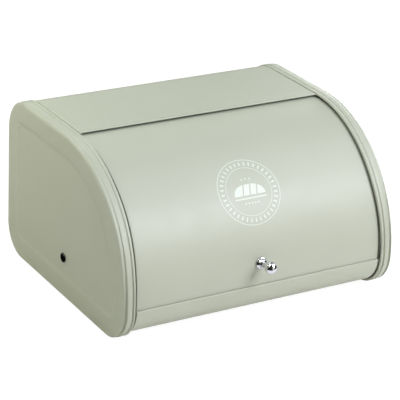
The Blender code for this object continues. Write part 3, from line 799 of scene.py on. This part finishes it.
def lid_buffer(word, rubber):
    """Pad inside the apron that the closed lid's lower edge rests on, with rounded edges."""
    node = f"{word}_lid_buffer"
    low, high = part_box(node)
    outer = BASE_INSET + HEM + FIT_GAP
    inner = outer + BUFFER_THICKNESS
    length = radians(BUFFER_TOP_ANGLE - BUFFER_LOW_ANGLE) * (FRONT_BOTTOM_RADIUS - inner)
    rings = []
    for across, trim in ((0.0, 1.0), (0.3, 0.35), (1.0, 0.0)):
        rings.append((low.x + across * MM, trim * MM))
    rings += [(high.x - (x - low.x), trim) for x, trim in reversed(rings)]
    points = []
    for x, trim in rings:
        corners = rounded(
            (
                (trim, outer + trim, 0.8 * MM), (length / 2, outer + trim, 0),
                (length - trim, outer + trim, 0.8 * MM), (length - trim, inner - trim, 0.8 * MM),
                (length / 2, inner - trim, 0), (trim, inner - trim, 0.8 * MM),
            ),
            4,
        )
        ring = []
        for along, inset, _ in corners:
            angle = BUFFER_TOP_ANGLE + (BUFFER_LOW_ANGLE - BUFFER_TOP_ANGLE) * along / length
            station = (FRONT_CORNER_DEPTH, FRONT_BOTTOM_RADIUS, FRONT_BOTTOM_RADIUS, angle)
            ring.append(place(x, *on_profile(station, inset)))
        points.append(ring)
    shape = bmesh.new()
    loops = skin(shape, points)
    for loop in (loops[0], loops[-1]):
        shape.faces.new(loop)
    finished(f"{word}_buffer", shape, rubber, "bin", [node])


# Print -------------------------------------------------------------------------------------------


def on_lid(u, v, lift):
    """A point of the print: u mm to the right and v mm up along the lid from its centre."""
    angle = radians(PRINT_ANGLE) + v * MM / LID_RADIUS
    reach = LID_RADIUS + lift
    return HINGE + Vector((u * MM, -reach * cos(angle), reach * sin(angle)))


def ink(shape, grid, closed=False):
    """A closed slab of ink over a grid of (u, v) points; closed joins its last row to its first."""
    rows, columns = len(grid), len(grid[0])
    top, under = (
        [[shape.verts.new(on_lid(u, v, lift)) for u, v in row] for row in grid]
        for lift in (PRINT_LIFT, PRINT_LIFT - PRINT_DEPTH)
    )
    spans = rows if closed else rows - 1
    for i in range(spans):
        k = (i + 1) % rows
        for j in range(columns - 1):
            shape.faces.new((top[i][j], top[i][j + 1], top[k][j + 1], top[k][j]))
            shape.faces.new((under[i][j], under[k][j], under[k][j + 1], under[i][j + 1]))
        for j in (0, columns - 1):
            shape.faces.new((top[i][j], top[k][j], under[k][j], under[i][j]))
    if closed:
        return
    for i in (0, rows - 1):
        for j in range(columns - 1):
            shape.faces.new((top[i][j], under[i][j], under[i][j + 1], top[i][j + 1]))


def ink_ring(shape, inner, outer, first=0, last=360):
    steps = max(3, round((last - first) / 3))
    closed = last - first >= 360
    grid = []
    for i in range(steps if closed else steps + 1):
        a = radians(first + (last - first) * i / steps)
        grid.append([(r * sin(a), r * cos(a)) for r in (inner, outer)])
    ink(shape, grid, closed)


def ink_dot(shape, u, v, radius):
    """A round dot, built from narrow rows across it."""
    grid = []
    for i in range(13):
        a = pi * (i + 0.25) / 12.5
        across = u - radius * cos(a)
        half = radius * sin(a)
        grid.append([(across, v - half), (across, v), (across, v + half)])
    ink(shape, grid)


def loaf_top(u, half_width, rise):
    return rise * (1 - abs(u / half_width) ** 2.6) ** 0.5


def ink_loaf(shape, half_width, rise, base):
    """A plain loaf with a round top, left unprinted along three slanting cuts."""
    slant = 0.55
    cuts = (-8.5, 0.0, 8.5)
    gap = 1.5
    edges = [-half_width + 0.2] + [c + s * gap / 2 for c in cuts for s in (-1, 1)] + [half_width - 0.2]
    for first, last in zip(edges[::2], edges[1::2]):
        grid = []
        for i in range(13):
            foot_u = first + (last - first) * i / 12
            height = 0.0
            for _ in range(12):
                reach = min(half_width - 0.1, max(0.1 - half_width, foot_u + slant * height * 0.5))
                height = 0.5 * (height + loaf_top(reach, half_width, rise))
            lean = slant * 0.5 * height
            column = []
            for j in range(13):
                t = j / 12
                u = min(half_width, max(-half_width, foot_u + lean * t))
                column.append((u, base + height * t))
            grid.append(column)
        ink(shape, grid)


def lid_print(paint):
    """A plain round print: a double ring with dashes between, and a loaf in the middle."""
    shape = bmesh.new()
    ink_ring(shape, 37.3, 38.0)
    ink_ring(shape, 27.4, 27.9)
    for i in range(36):
        middle = i * 10
        ink_ring(shape, 30.3, 34.7, middle - 1.3, middle + 1.3)
    ink_loaf(shape, 19.5, 12.5, -4.5)
    ink(shape, [[(u, -8.6), (u, -7.2)] for u in (-19.5, 19.5)])
    for u in (-8, -4, 0, 4, 8):
        ink_dot(shape, u, -13.5, 0.9)
    for u in (-5, 0, 5):
        ink_dot(shape, u, 14.5 - abs(u) * 0.2, 0.9)
    finished("lid_print", shape, paint, "lid", [])


# Materials ---------------------------------------------------------------------------------------


def new_material(name, colour, metallic, roughness):
    made = bpy.data.materials.new(name)
    made.use_nodes = True
    shader = made.node_tree.nodes["Principled BSDF"]
    shader.inputs["Base Color"].default_value = (*colour, 1)
    shader.inputs["Metallic"].default_value = metallic
    shader.inputs["Roughness"].default_value = roughness
    return made, shader


def coordinates(tree, scale=(1, 1, 1)):
    """Object coordinates in metres, which stay with a piece when it moves."""
    source = tree.nodes.new("ShaderNodeTexCoord")
    mapping = tree.nodes.new("ShaderNodeMapping")
    mapping.inputs["Scale"].default_value = scale
    tree.links.new(source.outputs["Object"], mapping.inputs["Vector"])
    return mapping.outputs["Vector"]


def noise(tree, place_at, scale, detail=2.0, roughness=0.5):
    """Noise whose features are about 1 / scale metres."""
    made = tree.nodes.new("ShaderNodeTexNoise")
    made.inputs["Scale"].default_value = scale
    made.inputs["Detail"].default_value = detail
    made.inputs["Roughness"].default_value = roughness
    tree.links.new(place_at, made.inputs["Vector"])
    return made.outputs["Fac"]


def remap(tree, value, low, high, to_low, to_high):
    made = tree.nodes.new("ShaderNodeMapRange")
    for socket, number in zip(("From Min", "From Max", "To Min", "To Max"), (low, high, to_low, to_high)):
        made.inputs[socket].default_value = number
    tree.links.new(value, made.inputs["Value"])
    return made.outputs["Result"]


def maths(tree, operation, first, second):
    made = tree.nodes.new("ShaderNodeMath")
    made.operation = operation
    for socket, value in zip(made.inputs, (first, second)):
        if isinstance(value, (int, float)):
            socket.default_value = value
        else:
            tree.links.new(value, socket)
    return made.outputs["Value"]


def mixed(tree, factor, first, second):
    """A colour between two, each a tuple or a socket."""
    made = tree.nodes.new("ShaderNodeMix")
    made.data_type = "RGBA"
    tree.links.new(factor, made.inputs["Factor"])
    for socket, colour in ((made.inputs[6], first), (made.inputs[7], second)):
        if isinstance(colour, tuple):
            socket.default_value = (*colour, 1)
        else:
            tree.links.new(colour, socket)
    return made.outputs[2]


def bump(tree, height, distance, strength=1.0, under=None):
    made = tree.nodes.new("ShaderNodeBump")
    made.inputs["Distance"].default_value = distance
    made.inputs["Strength"].default_value = strength
    tree.links.new(height, made.inputs["Height"])
    if under:
        tree.links.new(under, made.inputs["Normal"])
    return made.outputs["Normal"]


def shade_of(colour, share):
    return tuple(c * share for c in colour)


def sage_paint():
    """Satin powder coat: orange peel and a cloudy tone, with a painted highlight on crests and folds and
    painted shade in grooves.
    """
    colour = (0.410, 0.430, 0.340)
    made, shader = new_material("sage_powder_coat", colour, 0.0, 0.42)
    tree = made.node_tree
    where = coordinates(tree)
    cloud = remap(tree, noise(tree, where, 14, 3), 0.3, 0.7, 0.0, 1.0)
    tone = mixed(tree, cloud, shade_of(colour, 0.985), shade_of(colour, 1.015))
    grain = remap(tree, noise(tree, where, 2600, 2), 0.35, 0.65, 0.0, 1.0)
    tone = mixed(tree, maths(tree, "MULTIPLY", grain, 0.35), tone, shade_of(colour, 1.05))
    bend = tree.nodes.new("ShaderNodeAttribute")
    bend.attribute_name = "bend"
    # Painted light: where the bend is above 0 (crests, folds) the paint is made lighter as a painted highlight,
    # and where it is below 0 (grooves) darker as painted shade.
    crest = maths(tree, "MULTIPLY", remap(tree, bend.outputs["Fac"], 0.1, 1.0, 0.0, 1.0), 0.35)
    groove_shade = maths(tree, "MULTIPLY", remap(tree, bend.outputs["Fac"], -0.1, -1.0, 0.0, 1.0), 0.6)
    tone = mixed(tree, crest, tone, shade_of(colour, 1.12))
    tone = mixed(tree, groove_shade, tone, shade_of(colour, 0.78))
    tree.links.new(tone, shader.inputs["Base Color"])
    smear = noise(tree, where, 55, 4, 0.6)
    rough = remap(tree, smear, 0.3, 0.7, 0.39, 0.46)
    tree.links.new(rough, shader.inputs["Roughness"])
    waves = bump(tree, noise(tree, where, 22, 1), 0.12 * MM)
    peel = bump(tree, noise(tree, where, 750, 2), 0.010 * MM, under=waves)
    fine = bump(tree, noise(tree, where, 3600, 1), 0.002 * MM, under=peel)
    tree.links.new(fine, shader.inputs["Normal"])
    return made


def chrome_plate():
    """Bright chrome with faint wiping marks."""
    made, shader = new_material("chrome_plate", (0.74, 0.74, 0.77), 1.0, 0.15)
    tree = made.node_tree
    where = coordinates(tree)
    smear = noise(tree, where, 320, 4, 0.65)
    tree.links.new(remap(tree, smear, 0.35, 0.75, 0.12, 0.19), shader.inputs["Roughness"])
    tone = mixed(tree, smear, (0.77, 0.77, 0.80), (0.69, 0.69, 0.72))
    tree.links.new(tone, shader.inputs["Base Color"])
    marks = coordinates(tree, (1, 6, 1))
    tree.links.new(bump(tree, noise(tree, marks, 1400, 2), 0.0006 * MM), shader.inputs["Normal"])
    return made


def blackened_steel():
    """Dark oxide on steel: nearly black, smooth, with a faint oily unevenness."""
    made, shader = new_material("blackened_steel", (0.06, 0.06, 0.062), 1.0, 0.24)
    tree = made.node_tree
    where = coordinates(tree)
    oil = remap(tree, noise(tree, where, 420, 3), 0.35, 0.65, 0.0, 1.0)
    tone = mixed(tree, oil, (0.045, 0.045, 0.048), (0.085, 0.083, 0.080))
    tree.links.new(tone, shader.inputs["Base Color"])
    tree.links.new(remap(tree, oil, 0.0, 1.0, 0.19, 0.30), shader.inputs["Roughness"])
    tree.links.new(bump(tree, noise(tree, where, 2600, 2), 0.002 * MM), shader.inputs["Normal"])
    return made


def zinc_plate():
    """Bright zinc: softly brushed, with the plating's faint blue and yellow bloom."""
    made, shader = new_material("zinc_plate", (0.62, 0.62, 0.60), 1.0, 0.32)
    tree = made.node_tree
    where = coordinates(tree)
    bloom = remap(tree, noise(tree, where, 260, 3), 0.35, 0.65, 0.0, 1.0)
    tree.links.new(mixed(tree, bloom, (0.60, 0.62, 0.65), (0.66, 0.64, 0.57)), shader.inputs["Base Color"])
    brushed = noise(tree, coordinates(tree, (1, 1, 14)), 900, 3)
    tree.links.new(remap(tree, brushed, 0.3, 0.7, 0.24, 0.42), shader.inputs["Roughness"])
    tree.links.new(bump(tree, brushed, 0.004 * MM), shader.inputs["Normal"])
    return made


def natural_nylon():
    made, shader = new_material("natural_nylon", (0.80, 0.80, 0.76), 0.0, 0.48)
    shader.inputs["Subsurface Weight"].default_value = 0.25
    shader.inputs["Subsurface Radius"].default_value = (1.0, 0.9, 0.8)
    shader.inputs["Subsurface Scale"].default_value = 0.6 * MM
    tree = made.node_tree
    where = coordinates(tree)
    cloud = remap(tree, noise(tree, where, 400, 2), 0.3, 0.7, 0.0, 1.0)
    tree.links.new(mixed(tree, cloud, (0.78, 0.78, 0.73), (0.83, 0.83, 0.80)), shader.inputs["Base Color"])
    tree.links.new(bump(tree, noise(tree, where, 2400, 2), 0.006 * MM), shader.inputs["Normal"])
    return made


def grey_rubber():
    made, shader = new_material("grey_rubber", (0.045, 0.045, 0.045), 0.0, 0.78)
    tree = made.node_tree
    where = coordinates(tree)
    dust = remap(tree, noise(tree, where, 180, 4, 0.6), 0.45, 0.8, 0.0, 1.0)
    tree.links.new(mixed(tree, dust, (0.040, 0.040, 0.041), (0.085, 0.084, 0.080)), shader.inputs["Base Color"])
    tree.links.new(remap(tree, dust, 0.0, 1.0, 0.72, 0.88), shader.inputs["Roughness"])
    tree.links.new(bump(tree, noise(tree, where, 3000, 2), 0.02 * MM), shader.inputs["Normal"])
    return made


def white_ink():
    """Screen-printed white ink, a little thin in places, so that the paint shows through."""
    made, shader = new_material("white_ink", (0.62, 0.66, 0.58), 0.0, 0.50)
    tree = made.node_tree
    where = coordinates(tree)
    thin = remap(tree, noise(tree, where, 1500, 3, 0.6), 0.5, 0.8, 0.0, 1.0)
    tree.links.new(mixed(tree, thin, (0.64, 0.68, 0.61), (0.52, 0.56, 0.46)), shader.inputs["Base Color"])
    tree.links.new(bump(tree, noise(tree, where, 3200, 2), 0.006 * MM), shader.inputs["Normal"])
    return made


# Stage -------------------------------------------------------------------------------------------


def camera():
    """The viewpoint: above the left front corner, a long lens, level but for a slight roll."""
    azimuth, elevation, roll = radians(-30.957), radians(23.107), radians(2.475)
    target = HINGE + Vector((2.92 * MM, 0, 38.09 * MM))
    distance = 2077.5 * MM
    back = Vector(
        (sin(azimuth) * cos(elevation), -cos(azimuth) * cos(elevation), sin(elevation))
    )
    level = (-back).cross(Vector((0, 0, 1))).normalized()
    upright = level.cross(-back)
    right = cos(roll) * level + sin(roll) * upright
    up = cos(roll) * upright - sin(roll) * level
    data = bpy.data.cameras.new("camera")
    data.sensor_width = 36
    data.lens = 164.325
    made = bpy.data.objects.new("camera", data)
    bpy.context.scene.collection.objects.link(made)
    turn = Matrix((right, up, back)).transposed().to_4x4()
    made.matrix_world = Matrix.Translation(target + back * distance) @ turn
    bpy.context.scene.camera = made


def floor_disc(name, centre, radius, albedo, colour, glow, rays):
    """A round floor that only the named kinds of ray meet."""
    bpy.ops.mesh.primitive_circle_add(vertices=96, radius=radius, fill_type="NGON")
    disc = bpy.context.object
    disc.name = name
    disc.location = centre
    made, shader = new_material(name, (albedo,) * 3, 0.0, 0.9)
    shader.inputs["Emission Color"].default_value = (*colour, 1)
    shader.inputs["Emission Strength"].default_value = glow
    disc.data.materials.append(made)
    met_only_by(disc, rays)


def met_only_by(piece, rays):
    for ray in ("camera", "diffuse", "glossy", "transmission", "volume_scatter", "shadow"):
        setattr(piece, f"visible_{ray}", ray in rays)


def floor_and_backdrop():
    """A wide floor lights the bin from below, a small one shows in its chrome, the camera sees a third.

    The pale dome beyond them is for the camera alone.
    """
    white = (1.0, 1.0, 1.0)
    floor_disc("bounce_floor", (0, 0, -0.3 * MM), 6, 0.88, BOUNCE_COLOUR, BOUNCE_GLOW, ("diffuse",))
    floor_disc("mirrored_floor", (0.09, -0.06, -0.2 * MM), 0.25, 0.9, white, 0.0, ("glossy",))
    floor_disc("bright_floor", (0, 0, -0.1 * MM), 6, FLOOR_SHARE, white, FLOOR_GLOW, ("camera",))
    bpy.ops.mesh.primitive_uv_sphere_add(segments=48, ring_count=24, radius=20)
    dome = bpy.context.object
    dome.name = "backdrop"
    pale = bpy.data.materials.new("pale_backdrop")
    pale.use_nodes = True
    nodes = pale.node_tree.nodes
    nodes.clear()
    glow = nodes.new("ShaderNodeEmission")
    output = nodes.new("ShaderNodeOutputMaterial")
    pale.node_tree.links.new(glow.outputs["Emission"], output.inputs["Surface"])
    dome.data.materials.append(pale)
    met_only_by(dome, ("camera",))


def soft_light(name, azimuth, elevation, distance, width, height, power, colour):
    """A rectangular softbox that faces the bin; azimuth 0 is in front, 90 to the right."""
    a, e = radians(azimuth), radians(elevation)
    towards = Vector((sin(a) * cos(e), -cos(a) * cos(e), sin(e)))
    data = bpy.data.lights.new(name, "AREA")
    data.shape = "RECTANGLE"
    data.size, data.size_y = width, height
    data.energy = power
    data.color = colour
    lamp = bpy.data.objects.new(name, data)
    bpy.context.scene.collection.objects.link(lamp)
    lamp.location = HINGE + towards * distance
    lamp.rotation_euler = towards.to_track_quat("Z", "Y").to_euler()
    lamp.visible_camera = False


def lighting():
    world = bpy.data.worlds.new("studio")
    world.use_nodes = True
    background = world.node_tree.nodes["Background"]
    background.inputs["Color"].default_value = (1, 1, 1, 1)
    background.inputs["Strength"].default_value = WORLD_STRENGTH
    bpy.context.scene.world = world
    for light in LIGHTS:
        soft_light(*light)
    bpy.context.scene.view_settings.view_transform = "Standard"


def main():
    paint = sage_paint()
    chrome = chrome_plate()
    steel = zinc_plate()
    dark = blackened_steel()
    nylon = natural_nylon()
    rubber = grey_rubber()
    for side, word in ((-1, "left"), (1, "right")):
        end_panel(side, word, paint)
        lid_arm(side, word, paint)
        hinge_hardware(side, word, (dark, steel, nylon))
        lid_buffer(word, rubber)
        for row in ("front", "rear"):
            foot(f"foot_{row}_{word}", rubber)
    base_and_apron(paint)
    back_and_top(paint)
    lid_shell(paint)
    lid_rivets(steel)
    knob(chrome, steel)
    lid_print(white_ink())
    camera()
    floor_and_backdrop()
    lighting()


main()
